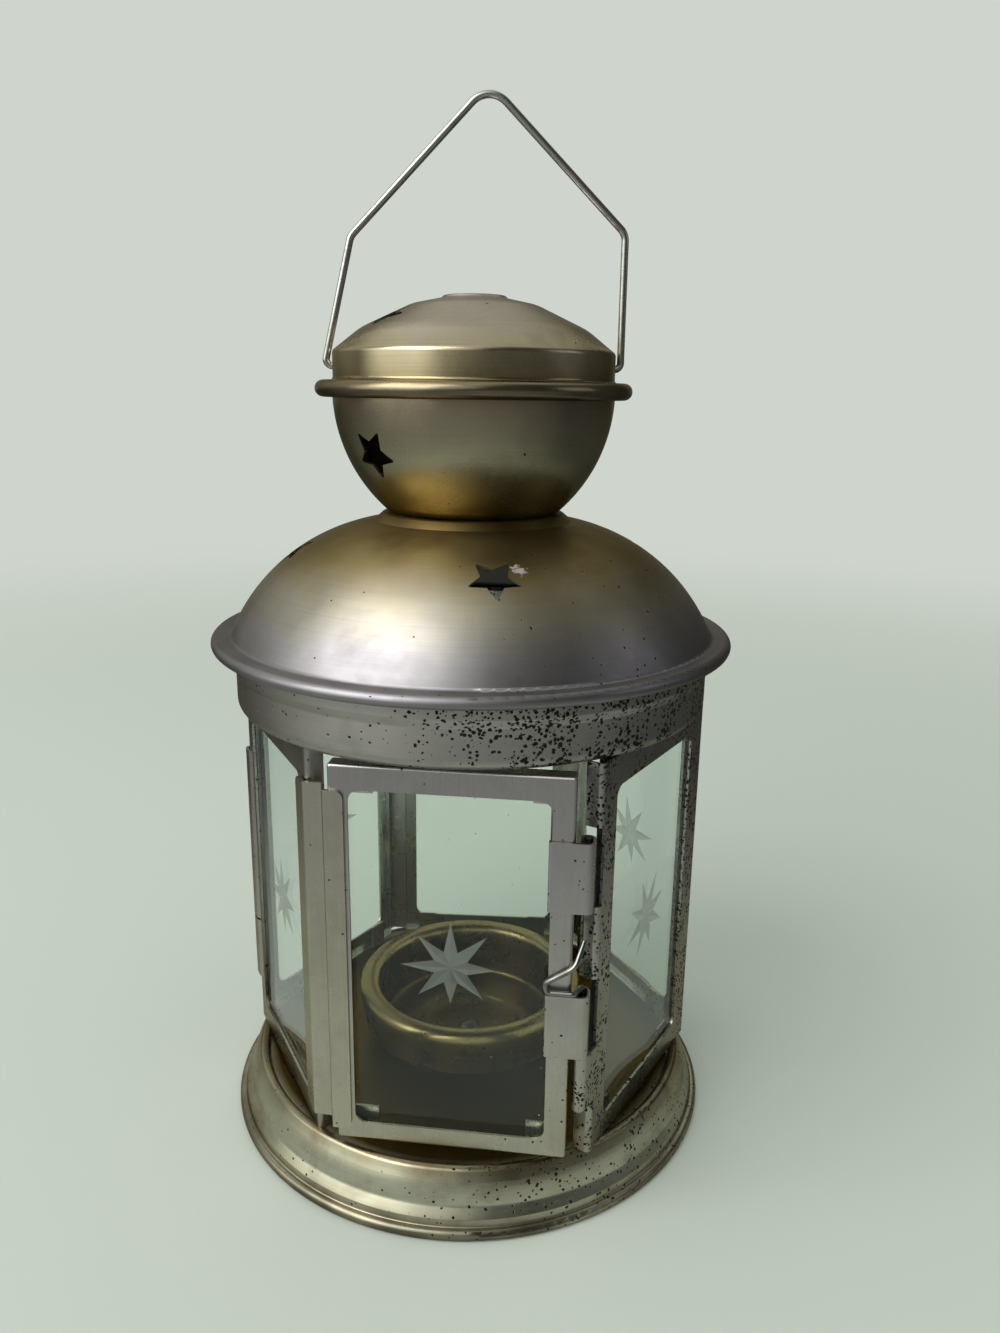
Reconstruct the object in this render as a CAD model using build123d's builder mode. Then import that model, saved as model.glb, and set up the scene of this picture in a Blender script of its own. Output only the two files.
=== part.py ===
"""A punched tin lantern for one small candle: a spun base pan and roof, a folded hexagonal
body with glass in five sides, a hinged glazed door in the sixth, and a wire bail.

Millimetres. The origin is the middle of the base's underside, +Z is up and the door faces -Y.
"""

import os
from math import asin, cos, degrees, radians, sin, tan

from build123d import *

os.makedirs("parts", exist_ok=True)

# Stock that every piece is made of
sheet = 0.5
glass = 2.0
pane_gap = 0.1
overrun = 1.0

# Base pan: a dish turned upside down, with a recessed floor and a rolled foot
base_radius = 52.4
base_height = 12.2
floor_recess = 1.2
foot_height = 2.2
foot_width = 2.0
foot_bend = 0.9
crest_bend = 0.8
base_wall_width = 5.0
crest_width = 1.4
band_bend = 8.0
valley_bend = 1.5
beading_bend = 0.6
step_bend = 0.3
# The flared wall between foot and crest: how far out and how far up each of its bends lies
wall_out_shares = (0.72, 0.66, 0.42, 0.30)
wall_up_shares = (0.0, 0.14, 0.34, 0.68)

# Candle cup and the rivet that holds it
cup_bore_radius = 20.2
cup_height = 14.4
cup_bend = 1.8
cup_rim_radius = 25.2
cup_rim_drop = 2.5
cup_lip_bend = 1.6
rivet_head_radius = 2.4
rivet_head_height = 0.9
rivet_shank_radius = 1.4
rivet_tail_height = 0.6

# Body: a hexagon of folded sheet, open at the front
body_inset = 10.0
body_turn = -4.5
body_height = 79.7
body_bend = 1.0
post_width = 6.68
window_rise = 4.6
window_head = 6.1
window_corner = 2.2
return_flange = 3.4
left_post_setback = 4.8
right_post_setback = 1.6
doorway_spread = 1.2
seam_gap = 1.2
seam_flange = 1.5
lap_gap = 0.1
strap_length = 3.4
strap_setback = 2.6
strap_low_rise = 11.0
strap_low_height = 14.4
strap_break = 0.5
strap_head = 14.0
strap_bend = 0.6
tab_root = 2.0
tab_bend = 0.6
fixing_tab_width = 6.0
fixing_tab_reach = 3.6
slot_clearance = 0.2
hook_width = 4.6
hook_rise = 6.0
hook_inset = 3.3

# Glass panes
pane_lap = 2.6

# Door: a shallow tray with a window, hung on the right
door_side_play = 4.96
door_rise = 1.6
door_head_gap = 1.2
door_toe = 3.0692
door_left_inset = 2.28
door_edge_bend = 0.6
stile_width = 3.6
hinge_stile_width = 4.1
door_window_rise = 3.8
door_window_head = 4.7
door_hook_inset = 5.4
fold_lap = 1.0

# Closure flap: the sheet cut out of the window, folded back round the left post
flap_rise = 2.5
flap_head = 4.8
flap_gap = 0.35
flap_wing = 4.4
flap_slant = 0.9
flap_inset = 0.7
flap_bend = 0.7
flap_corner = 1.6

# Hinge: two door knuckles and one body knuckle on one bent wire
pin_radius = 0.5
knuckle_bore = 0.85
hinge_out = 2.1
upper_knuckle_height = 13.4
lower_knuckle_height = 12.7
body_knuckle_low = 11.5
# How far up the door each of its knuckles starts
lower_knuckle_share = 0.29
upper_knuckle_share = 0.671
knuckle_relief = 1.0
relief_depth = 1.2
relief_length = 3.8
door_curl_turn = 215.0
body_curl_turn = 285.0
loop_reach = 6.6
loop_height = 9.2
loop_drop = 3.8
loop_side = 1.4
loop_thickness = 1.9
loop_clearance = 0.35
pin_overhang = 0.8
wire_bend = 1.0
wire_sweep = 2.4

# Collar between body and roof
collar_ring_width = 4.4
collar_lip = 1.3
collar_inset = 0.66
collar_bend = 2.2
collar_wall = 7.9
ledge_width = 1.0
ledge_height = 1.6
collar_flange = 1.8
collar_fold = 0.6

# Roof: a dome with a rolled rim, crimped to the bowl above it
dome_center_radius = 14.2
dome_shoulder = 3.4
dome_foot_rise = 1.5
dome_low_lean = 26.5
dome_top_lean = 79.8
boss_inset = 2.75
boss_rise = 1.7
boss_run = 1.0
boss_root_bend = 0.3
boss_bend = 0.7
neck_radius = 12.4
neck_flare = 2.2
bead_overhang = 0.6
bead_tube = 1.2
bead_rise = 13.4
bead_turn = 225.0
flare_bend = 0.9

# Chimney bowl
bowl_radius = 30.7
bowl_center_offset = 3.0
bowl_wall_height = 23.5
bowl_foot_lean = 42.0
bowl_corner = 2.5
bowl_flange = 2.5

# Chimney cap
rim_radius = 29.4
rim_tube = 1.6
rim_turn = 210.0
band_radius = 27.5
band_height = 5.4
band_fold = 0.6
shoulder_run = 1.6
shoulder_bend = 1.0
crown_radius = 47.0
crown_low_lean = 52.0
crown_high_lean = 78.0
knee_bends = (12.0, 8.0)
disc_run = 0.6
disc_step = 0.5
disc_root_bend = 0.3
disc_bend = 0.6

# Punched stars: size, then where each ring of them stands
star_points = 5
star_radius = 5.2
star_waist = 2.55
star_tip_bend = 0.3
punch_reach = 2.5
dome_star_lean = 56.0
dome_star_azimuths = (-84.0, 6.0, 96.0, -174.0)
bowl_star_lean = 21.8
bowl_star_turn = 3.0
bowl_star_azimuths = (-136.0, 2.0, 112.0)
cap_star_lean = 64.0
cap_star_azimuths = (-155.0, 2.0, 105.0)
cap_star_turn = 30.0

# Bail
bail_wire = 0.7
bail_hole = 1.25
bail_rise = 2.65
bail_left_foot = 29.2
bail_right_foot = 28.7
bail_hook = 3.8
bail_left_reach = 23.6
bail_left_rise = 23.6
bail_right_reach = 28.6
bail_right_rise = 24.8
bail_apex_shift = 2.4
bail_apex_rise = 50.2
bail_foot_bend = 1.2
bail_shoulder_bend = 3.0
bail_apex_bend = 4.5

# Levels and places that follow from the sizes above
floor_level = base_height - floor_recess
body_low = base_height
body_high = body_low + body_height
window_low = body_low + window_rise
window_height = body_height - window_rise - window_head
door_low = body_low + door_rise
door_height = body_height - door_rise - door_head_gap
collar_low = body_high
bead_level = collar_low + bead_rise
bead_top = bead_level + bead_tube
body_apothem = base_radius - body_inset
corner_radius = body_apothem / cos(radians(30))
window_width = corner_radius - 2 * post_width
door_width = corner_radius - door_side_play
collar_radius = corner_radius - collar_inset
ledge_radius = collar_radius + ledge_width
bead_radius = ledge_radius + collar_flange + bead_overhang
knuckle_radius = knuckle_bore + sheet
pocket_depth = sheet + glass + 2 * pane_gap
door_depth = pocket_depth + sheet

def polar(radius, azimuth, level=0):
    """A point by its distance from the lantern's axis, its azimuth and its height."""
    return Vector(radius * cos(radians(azimuth)), radius * sin(radians(azimuth)), level)


def corner(number):
    """Hexagon corner in plan, counted from the one left of the door."""
    return polar(corner_radius, -120 + 60 * number + body_turn)


def side_face(start, end):
    """Upright plane on a side's outer face: X from start to end, Y up, Z outwards."""
    along = (end - start).normalized()
    return Plane((start + end) / 2, x_dir=along, z_dir=along.cross(Vector(0, 0, 1)))


def side_section(start, end, shift=0):
    """Plane across a side, shifted along it: X runs into the lantern, Y up."""
    along = (end - start).normalized()
    return Plane((start + end) / 2 + along * shift, x_dir=Vector(0, 0, 1).cross(along), z_dir=along)


def folded(points, bend, plane=Plane.XY):
    """Section of folded sheet whose outer face follows the points, with the metal on their left."""
    with BuildSketch(plane) as section:
        with BuildLine():
            FilletPolyline(*points, radius=bend)
            offset(amount=sheet, side=Side.LEFT)
        make_face()
    return section.sketch


def arc_wall(center, radius, start_angle, end_angle):
    """Section of a turned sheet wall whose outer face is an arc.

    Its two arcs are drawn as weighted curves, because a torus wider than its own ring does not
    punch cleanly.
    """
    half = (end_angle - start_angle) / 2
    with BuildSketch(Plane.XZ) as section:
        with BuildLine():
            for reach in (radius, radius - sheet):
                Bezier(
                    center + polar(reach, start_angle),
                    center + polar(reach / cos(radians(half)), start_angle + half),
                    center + polar(reach, end_angle),
                    weights=(1, cos(radians(half)), 1),
                )
            for angle in (start_angle, end_angle):
                Line(center + polar(radius - sheet, angle), center + polar(radius, angle))
        make_face()
    return section.sketch


def star(plane, turn=0):
    """Star-shaped punch outline, one point down when turn is zero."""
    with BuildSketch(plane) as outline:
        with BuildLine():
            tips = [
                polar(star_waist if number % 2 else star_radius, turn - 90 + 180 / star_points * number)
                for number in range(2 * star_points)
            ]
            Polyline(*tips, close=True)
        make_face()
        tip_corners = outline.vertices().sort_by(SortBy.DISTANCE)[-star_points:]
        fillet(tip_corners, star_tip_bend)
    return outline.sketch


def lean_plane(radius, level, azimuth, lean):
    """Plane that touches a turned surface where its normal leans up from level by the angle given."""
    outward = polar(cos(radians(lean)), azimuth, sin(radians(lean)))
    return Plane(polar(radius, azimuth, level), x_dir=polar(1, azimuth + 90), z_dir=outward)


def tab_slot(start, end, level):
    """Slot in a level sheet for the fixing tab in the middle of a side."""
    section = side_section(start, end)
    with BuildSketch(Plane(section.origin + Vector(0, 0, level), x_dir=section.z_dir)) as slot:
        with Locations((0, sheet / 2)):
            Rectangle(fixing_tab_width + 2 * slot_clearance, sheet + 2 * slot_clearance)
    return slot.sketch


def window(start, end):
    """Round-cornered window outline in the middle of a side."""
    with BuildSketch(side_face(start, end)) as outline:
        with Locations((0, window_low + window_height / 2)):
            RectangleRounded(window_width, window_height, window_corner)
    return outline.sketch


def add_tabs_and_hooks(start, end):
    """Fixing tabs clinched through base and collar, and four hooks that hold the pane."""
    foot_level = floor_level - 2 * sheet
    head_level = collar_low + 2 * sheet
    low_tab = [(0, body_low + tab_root), (0, foot_level), (fixing_tab_reach, foot_level)]
    high_tab = [(fixing_tab_reach, head_level), (0, head_level), (0, body_high - tab_root)]
    for path in (low_tab, high_tab):
        strip = folded(path, tab_bend, side_section(start, end))
        extrude(strip, amount=fixing_tab_width / 2, both=True)
    hook_back = pocket_depth + sheet
    low_hook = [(0, body_low), (hook_back, body_low), (hook_back, body_low + hook_rise)]
    high_hook = [(hook_back, body_high - hook_rise), (hook_back, body_high), (0, body_high)]
    hook_shift = window_width / 2 - hook_inset
    for shift in (-hook_shift, hook_shift):
        for path in (low_hook, high_hook):
            strip = folded(path, tab_bend, side_section(start, end, shift))
            extrude(strip, amount=hook_width / 2, both=True)


# The six sides in plan. The left and right posts stand short of the front corners, and the
# right side's free edge is sprung outwards a little.
left_post = corner(0) + (corner(5) - corner(0)).normalized() * left_post_setback
right_post = (
    corner(1)
    + (corner(2) - corner(1)).normalized() * right_post_setback
    + polar(doorway_spread, -30 + body_turn)
)
sides = {
    "right": (right_post, corner(2)),
    "back_right": (corner(2), corner(3)),
    "back": (corner(3), corner(4)),
    "back_left": (corner(4), corner(5)),
    "left": (corner(5), left_post),
}

# The door's own planes: door_plan is seen from above, X from the left edge to the hinge and Y
# into the lantern; door_face is seen from the front, Z outwards
door_left = corner(0) + Vector(door_left_inset, 0)
door_along = polar(1, body_turn - degrees(asin(door_toe / door_width)))
door_plan = Plane(door_left, x_dir=door_along, z_dir=(0, 0, 1))
door_face = Plane(door_left, x_dir=door_along, z_dir=door_along.cross(Vector(0, 0, 1)))

# The hinge axis lies beside the door, one knuckle radius inside the right side's outer face
right_plan = Plane(right_post, x_dir=right_post - corner(2), z_dir=(0, 0, -1))
hinge_reach = door_width + hinge_out
beside_door = right_plan.to_local_coords(door_plan.from_local_coords(Vector(hinge_reach, 0)))
inward_slant = right_plan.to_local_coords(right_post + door_plan.y_dir).Y
hinge_depth = (knuckle_radius - beside_door.Y) / inward_slant
hinge_axis = door_plan.from_local_coords(Vector(hinge_reach, hinge_depth))
hinge_on_right = right_plan.to_local_coords(hinge_axis)

# Base pan
crest_outer_radius = base_radius - base_wall_width
crest_inner_radius = crest_outer_radius - crest_width
wall_height = base_height - foot_height
wall_points = [
    (crest_outer_radius + base_wall_width * out, foot_height + wall_height * up)
    for out, up in zip(wall_out_shares, wall_up_shares)
]
base_outline = [
    (base_radius - foot_width, 0),
    (base_radius, 0),
    (base_radius, foot_height),
    *wall_points,
    (crest_outer_radius, base_height),
    (crest_inner_radius, base_height),
    (crest_inner_radius - floor_recess / 2, floor_level),
    (0, floor_level),
]
base_bends = (
    foot_bend,
    foot_bend,
    step_bend,
    beading_bend,
    valley_bend,
    band_bend,
    crest_bend,
    crest_bend,
    step_bend,
)
with BuildPart() as base_pan:
    revolve(folded(base_outline, base_bends, Plane.XZ))
    with BuildSketch(Plane.XY.offset(floor_level)):
        Circle(rivet_shank_radius)
    extrude(amount=-sheet, mode=Mode.SUBTRACT)
    for start, end in sides.values():
        extrude(tab_slot(start, end, floor_level - sheet), amount=sheet, mode=Mode.SUBTRACT)

# Candle cup: straight walled, with a broad rolled rim
cup_outer_radius = cup_bore_radius + sheet
cup_top = floor_level + cup_height
cup_outline = [
    (0, floor_level),
    (cup_outer_radius, floor_level),
    (cup_outer_radius, cup_top - sheet),
    (cup_rim_radius - sheet, cup_top - sheet),
    (cup_rim_radius - sheet, cup_top - cup_rim_drop),
]
with BuildPart() as candle_cup:
    revolve(folded(cup_outline, (cup_bend, cup_lip_bend, cup_lip_bend), Plane.XZ))
    with BuildSketch(Plane.XY.offset(floor_level)):
        Circle(rivet_shank_radius)
    extrude(amount=sheet, mode=Mode.SUBTRACT)

# Rivet through the cup's bottom and the base pan's floor
head_low = floor_level + sheet
tail_high = floor_level - sheet
with BuildPart() as cup_rivet:
    with BuildSketch(Plane.XZ):
        with BuildLine():
            Polyline(
                (0, head_low + rivet_head_height),
                (0, tail_high - rivet_tail_height),
                (rivet_head_radius, tail_high - rivet_tail_height),
                (rivet_head_radius, tail_high),
                (rivet_shank_radius, tail_high),
                (rivet_shank_radius, head_low),
                (rivet_head_radius, head_low),
            )
            TangentArc(
                (0, head_low + rivet_head_height), (rivet_head_radius, head_low), tangent=(1, 0)
            )
        make_face()
    revolve()

# Body wrap: four sides and the right post folded from one strip of sheet
back_left_inward = side_section(*sides["back_left"]).x_dir
wrap_path = [
    right_post + right_plan.y_dir * return_flange,
    right_post,
    corner(2),
    corner(3),
    corner(4),
    corner(5),
    corner(5) + back_left_inward * seam_flange,
]
lower_knuckle_bottom = door_low + door_height * lower_knuckle_share
lower_knuckle_top = lower_knuckle_bottom + lower_knuckle_height
upper_knuckle_bottom = door_low + door_height * upper_knuckle_share
upper_knuckle_top = upper_knuckle_bottom + upper_knuckle_height
body_knuckle_bottom = body_low + body_knuckle_low
body_knuckle_top = lower_knuckle_bottom - knuckle_relief
edge_reliefs = (
    (body_knuckle_bottom - knuckle_relief, lower_knuckle_top + knuckle_relief),
    (upper_knuckle_bottom - knuckle_relief, upper_knuckle_top + knuckle_relief),
)
with BuildPart() as body_wrap:
    extrude(folded(wrap_path, body_bend, Plane.XY.offset(body_low)), amount=body_height)
    for side in ("right", "back_right", "back", "back_left"):
        extrude(window(*sides[side]), amount=sheet + overrun, both=True, mode=Mode.SUBTRACT)
    # The post is cut away where the knuckles turn, and slit above the body's own knuckle
    for low, high in edge_reliefs:
        with BuildSketch(right_plan) as edge_relief:
            with Locations((-relief_depth, -overrun)):
                Rectangle(
                    relief_depth + overrun,
                    return_flange + 2 * overrun,
                    align=(Align.MIN, Align.MIN),
                )
        extrude(edge_relief.sketch.moved(Location((0, 0, low))), amount=low - high, mode=Mode.SUBTRACT)
    with BuildSketch(right_plan) as slit:
        with Locations((-relief_length, -overrun)):
            Rectangle(relief_length, sheet + 2 * overrun, align=(Align.MIN, Align.MIN))
    extrude(
        slit.sketch.moved(Location((0, 0, body_knuckle_top))),
        amount=-knuckle_relief,
        mode=Mode.SUBTRACT,
    )
    with BuildSketch(right_plan) as body_knuckle:
        with BuildLine():
            curl = CenterArc((hinge_on_right.X, knuckle_radius), knuckle_radius, -90, body_curl_turn)
            Line((-relief_length, 0), curl @ 0)
            offset(amount=sheet, side=Side.LEFT)
        make_face()
    extrude(
        body_knuckle.sketch.moved(Location((0, 0, body_knuckle_bottom))),
        amount=body_knuckle_bottom - body_knuckle_top,
    )
    for side in ("right", "back_right", "back", "back_left"):
        add_tabs_and_hooks(*sides[side])

# Left panel: the fifth side and the left post, strapped over the wrap's end at the seam
left_along = (left_post - corner(5)).normalized()
left_out = side_face(*sides["left"]).z_dir
strap_out = lap_gap + sheet
seam_out = side_face(*sides["back_left"]).z_dir
seam_along = (corner(5) - corner(4)).normalized()
seam_corner = corner(5) + (left_out + seam_out) * (strap_out / (1 + left_out.dot(seam_out)))
strap_path = [
    seam_corner - seam_along * strap_length,
    seam_corner,
    corner(5) + left_along * strap_setback + left_out * strap_out,
    corner(5) + left_along * (strap_setback + 2 * sheet),
    corner(5) + left_along * (strap_setback + 4 * sheet),
]
left_path = [
    corner(5) + left_along * seam_gap,
    left_post,
    left_post - left_out * return_flange,
]
strap_low = body_low + strap_low_rise
strap_high = strap_low + strap_low_height + strap_break
strap_high_height = body_high - strap_head - strap_high
with BuildPart() as left_panel:
    extrude(folded(left_path, body_bend, Plane.XY.offset(body_low)), amount=body_height)
    extrude(window(*sides["left"]), amount=sheet + overrun, both=True, mode=Mode.SUBTRACT)
    strap_bends = (body_bend, strap_bend, strap_bend)
    extrude(folded(strap_path, strap_bends, Plane.XY.offset(strap_low)), amount=strap_low_height)
    extrude(folded(strap_path, strap_bends, Plane.XY.offset(strap_high)), amount=strap_high_height)
    add_tabs_and_hooks(*sides["left"])

# Panes behind the five fixed windows
panes = {}
pane_height = body_height - 2 * (sheet + pane_gap)
for side, ends in sides.items():
    with BuildPart() as pane:
        with BuildSketch(side_face(*ends).offset(-sheet - pane_gap)):
            with Locations((0, body_low + body_height / 2)):
                Rectangle(window_width + 2 * pane_lap, pane_height)
        extrude(amount=-glass)
    panes["pane_" + side] = pane

# Door frame: a shallow tray with its window punched out. The two knuckles are straps left at the
# window's right edge, folded back across the stile and curled round the pin
door_middle = (door_width / 2, door_low + door_height / 2)
window_right = door_width - hinge_stile_width
door_window_width = window_right - stile_width
door_window_height = door_height - door_window_rise - door_window_head
fold_radius = sheet + lap_gap / 2
strap_front = -sheet - lap_gap
with BuildPart() as door_frame:
    with BuildSketch(door_face):
        with Locations(door_middle):
            Rectangle(door_width, door_height)
    extrude(amount=-door_depth)
    facing = Axis(door_left, door_face.z_dir)
    fillet(door_frame.edges().filter_by(facing), door_edge_bend)
    fillet(door_frame.faces().sort_by(facing)[-1].edges(), door_edge_bend)
    offset(amount=-sheet, openings=door_frame.faces().sort_by(facing)[0])
    with BuildSketch(door_face):
        with Locations((stile_width, door_low + door_window_rise)):
            with Locations((door_window_width / 2, door_window_height / 2)):
                RectangleRounded(door_window_width, door_window_height, window_corner)
    extrude(amount=-sheet, mode=Mode.SUBTRACT)
    with BuildSketch(door_face.offset(-pocket_depth)):
        with Locations(door_middle):
            with GridLocations(door_width - 2 * door_hook_inset, door_height - hook_rise, 2, 2):
                Rectangle(hook_width, hook_rise)
    extrude(amount=-sheet)
    with BuildSketch(door_plan) as door_knuckle:
        with BuildLine():
            Line((window_right + fold_lap, sheet), (window_right, sheet))
            CenterArc((window_right, -lap_gap / 2), fold_radius, 90, 180)
            Line((window_right, strap_front), (hinge_reach, strap_front))
            bend = CenterArc((hinge_reach, strap_front + knuckle_radius), knuckle_radius, -90, 90)
            Line(bend @ 1, (hinge_reach + knuckle_radius, hinge_depth))
            CenterArc((hinge_reach, hinge_depth), knuckle_radius, 0, door_curl_turn)
            offset(amount=sheet, side=Side.LEFT)
        make_face()
    for low, high in (
        (lower_knuckle_bottom, lower_knuckle_top),
        (upper_knuckle_bottom, upper_knuckle_top),
    ):
        extrude(door_knuckle.sketch.moved(Location((0, 0, low))), amount=high - low)

# Closure strip: fastened on the door's left stile, folded back round the left post
wing_gap = flap_gap + sheet
post_in_door = door_plan.to_local_coords(left_post)
wing_along = door_plan.to_local_coords(left_post - left_along) - post_in_door
wing_out = door_plan.to_local_coords(left_post + left_out) - post_in_door
ridge_shift = wing_out.X - wing_along.X * (1 + wing_out.Y) / wing_along.Y
ridge = Vector(post_in_door.X + wing_gap * ridge_shift, post_in_door.Y - wing_gap)
strip_outline = [
    ridge + wing_along * flap_wing,
    ridge,
    (-wing_gap - flap_slant, ridge.Y),
    (-wing_gap, -sheet),
    (stile_width - flap_inset, -sheet),
]
with BuildPart() as closure_strip:
    strip_plane = door_plan.offset(door_low + flap_rise)
    extrude(folded(strip_outline, flap_bend, strip_plane), amount=door_height - flap_rise - flap_head)
    front_corners = closure_strip.edges().filter_by(Axis(door_left, door_plan.y_dir))
    fillet(front_corners.group_by(Axis(door_left, door_along))[-1], flap_corner)
    wing_corners = closure_strip.edges().filter_by(Axis(left_post, left_out))
    fillet(wing_corners.group_by(Axis(left_post, left_along))[0], flap_corner)

# Door pane
with BuildPart() as door_pane:
    with BuildSketch(door_face.offset(-sheet - pane_gap)):
        with Locations(door_middle):
            Rectangle(
                door_width - 2 * (sheet + pane_gap),
                door_height - 2 * (sheet + pane_gap),
            )
    extrude(amount=-glass)

# Hinge pin: one wire through all three knuckles, bent out between the door's two into a finger
# loop that lies across the stile
loop_front = -loop_clearance - pin_radius
loop_low = lower_knuckle_top + loop_clearance + pin_radius
loop_turn = hinge_reach - loop_reach
wire_path = [
    (hinge_reach, hinge_depth, upper_knuckle_top),
    (hinge_reach, hinge_depth, loop_low + loop_height),
    (hinge_reach - loop_side, loop_front, loop_low + loop_height - loop_drop),
    (loop_turn, loop_front, loop_low + loop_thickness),
    (loop_turn, loop_front, loop_low),
    (hinge_reach - loop_side, loop_front, loop_low),
    (hinge_reach, hinge_depth, loop_low),
    (hinge_reach, hinge_depth, body_knuckle_bottom - pin_overhang),
]
with BuildPart() as hinge_pin:
    with BuildLine(door_plan) as wire:
        wire_bends = (wire_bend, wire_sweep, wire_bend, wire_bend, wire_bend, wire_bend)
        FilletPolyline(*wire_path, radius=wire_bends)
    with BuildSketch(wire.line ^ 0):
        Circle(pin_radius)
    sweep()

# Collar: an inward ring that the body's tabs are clinched over, a wall and a flange for the roof
ledge_level = collar_low + collar_wall
flange_level = bead_level - sheet / 2
collar_hole_radius = body_apothem - collar_ring_width
collar_outline = [
    (collar_hole_radius, collar_low + collar_lip),
    (collar_hole_radius, collar_low),
    (collar_radius, collar_low),
    (collar_radius, ledge_level),
    (ledge_radius, ledge_level + ledge_height),
    (ledge_radius, flange_level),
    (ledge_radius + collar_flange, flange_level),
]
collar_bends = (collar_fold, collar_bend, collar_fold, collar_fold, collar_fold)
with BuildPart() as collar:
    revolve(folded(collar_outline, collar_bends, Plane.XZ))
    for start, end in sides.values():
        extrude(tab_slot(start, end, collar_low), amount=sheet, mode=Mode.SUBTRACT)

# Roof dome: rolled over the collar's flange below, turned out over the bowl's bottom above
dome_foot = Vector(bead_radius - dome_shoulder, bead_top + dome_foot_rise)
dome_radius = (dome_foot.X - dome_center_radius) / cos(radians(dome_low_lean))
dome_center = dome_foot - polar(dome_radius, dome_low_lean)
dome_head = dome_center + polar(dome_radius, dome_top_lean)
boss_radius = dome_head.X - boss_inset
boss_level = dome_head.Y + boss_rise
flare_radius = dome_foot.X + (dome_foot.Y - bead_top) * tan(radians(dome_low_lean))
with BuildPart() as roof_dome:
    with BuildSketch(Plane.XZ) as roof_rim:
        with BuildLine():
            bead = CenterArc((bead_radius, bead_level), bead_tube, 90 - bead_turn, bead_turn)
            FilletPolyline(bead @ 1, (flare_radius, bead_top), dome_foot, radius=flare_bend)
            offset(amount=sheet, side=Side.LEFT)
        make_face()
    with BuildSketch(Plane.XZ) as roof_neck:
        with BuildLine():
            FilletPolyline(
                dome_head,
                dome_head + polar(boss_run, dome_top_lean + 90),
                (boss_radius, boss_level),
                (neck_radius, boss_level),
                (neck_radius, boss_level + sheet),
                (neck_radius + neck_flare, boss_level + sheet),
                radius=(boss_root_bend, boss_bend, 0, 0),
            )
            offset(amount=sheet, side=Side.LEFT)
        make_face()
    revolve(roof_rim.sketch)
    revolve(arc_wall(dome_center, dome_radius, dome_low_lean, dome_top_lean))
    revolve(roof_neck.sketch)
    star_place = dome_center + polar(dome_radius, dome_star_lean)
    for azimuth in dome_star_azimuths:
        place = lean_plane(star_place.X, star_place.Y, azimuth, dome_star_lean)
        extrude(star(place), amount=punch_reach, both=True, mode=Mode.SUBTRACT)

# Chimney bowl: flat bottomed, with a flange that the cap's rim is rolled over
rim_level = boss_level + bowl_wall_height + sheet / 2
bowl_center = Vector(-bowl_center_offset, boss_level + bowl_wall_height)
bowl_foot = bowl_center + polar(bowl_radius, bowl_foot_lean - 90)
bowl_head = bowl_center + Vector(bowl_radius, 0)
foot_run = (bowl_foot.Y - boss_level) / tan(radians(bowl_foot_lean))
with BuildPart() as chimney_bowl:
    with BuildSketch(Plane.XZ) as bowl_bottom:
        with BuildLine():
            FilletPolyline(
                (neck_radius, boss_level),
                (bowl_foot.X - foot_run, boss_level),
                bowl_foot,
                radius=bowl_corner,
            )
            offset(amount=sheet, side=Side.LEFT)
        make_face()
    with BuildSketch(Plane.XZ) as bowl_rim:
        with BuildLine():
            Line(bowl_head - Vector(sheet, 0), bowl_head + Vector(bowl_flange, 0))
            offset(amount=sheet, side=Side.LEFT)
        make_face()
    revolve(bowl_bottom.sketch)
    revolve(arc_wall(bowl_center, bowl_radius, bowl_foot_lean - 90, 0))
    revolve(bowl_rim.sketch)
    star_place = bowl_center + polar(bowl_radius, -bowl_star_lean)
    for azimuth in bowl_star_azimuths:
        place = lean_plane(star_place.X, star_place.Y, azimuth, -bowl_star_lean)
        extrude(star(place, bowl_star_turn), amount=punch_reach, both=True, mode=Mode.SUBTRACT)

# Chimney cap: rolled rim, upright band with the bail's holes, low crown and a small top disc
band_low = rim_level + rim_tube
bail_level = band_low + bail_rise
band_head = Vector(band_radius, band_low + band_height)
crown_foot = band_head + polar(shoulder_run, crown_low_lean + 90)
crown_center = crown_foot - polar(crown_radius, crown_low_lean)
crown_knee_turn = (crown_high_lean - crown_low_lean) / 4
crown_knee_reach = crown_radius / cos(radians(crown_knee_turn))
crown_low_knee = crown_center + polar(crown_knee_reach, crown_low_lean + crown_knee_turn)
crown_high_knee = crown_center + polar(crown_knee_reach, crown_high_lean - crown_knee_turn)
crown_head = crown_center + polar(crown_radius, crown_high_lean)
disc_foot = crown_head + polar(disc_run, crown_high_lean + 90)
disc_level = disc_foot.Y + disc_step
with BuildPart() as chimney_cap:
    with BuildSketch(Plane.XZ):
        with BuildLine():
            rim = CenterArc((rim_radius, rim_level), rim_tube, 90 - rim_turn, rim_turn)
            FilletPolyline(
                rim @ 1,
                (band_radius, band_low),
                band_head,
                crown_low_knee,
                crown_high_knee,
                disc_foot,
                (disc_foot.X - disc_step, disc_level),
                (0, disc_level),
                radius=(band_fold, shoulder_bend, *knee_bends, disc_root_bend, disc_bend),
            )
            offset(amount=sheet, side=Side.LEFT)
        make_face()
    revolve()
    with BuildSketch(Plane.YZ):
        with Locations((0, bail_level)):
            Circle(bail_hole)
    extrude(amount=band_radius + overrun, both=True, mode=Mode.SUBTRACT)
    star_place = crown_center + polar(crown_radius, cap_star_lean)
    for azimuth in cap_star_azimuths:
        place = lean_plane(star_place.X, star_place.Y, azimuth, cap_star_lean)
        extrude(star(place, cap_star_turn), amount=punch_reach, both=True, mode=Mode.SUBTRACT)

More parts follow.
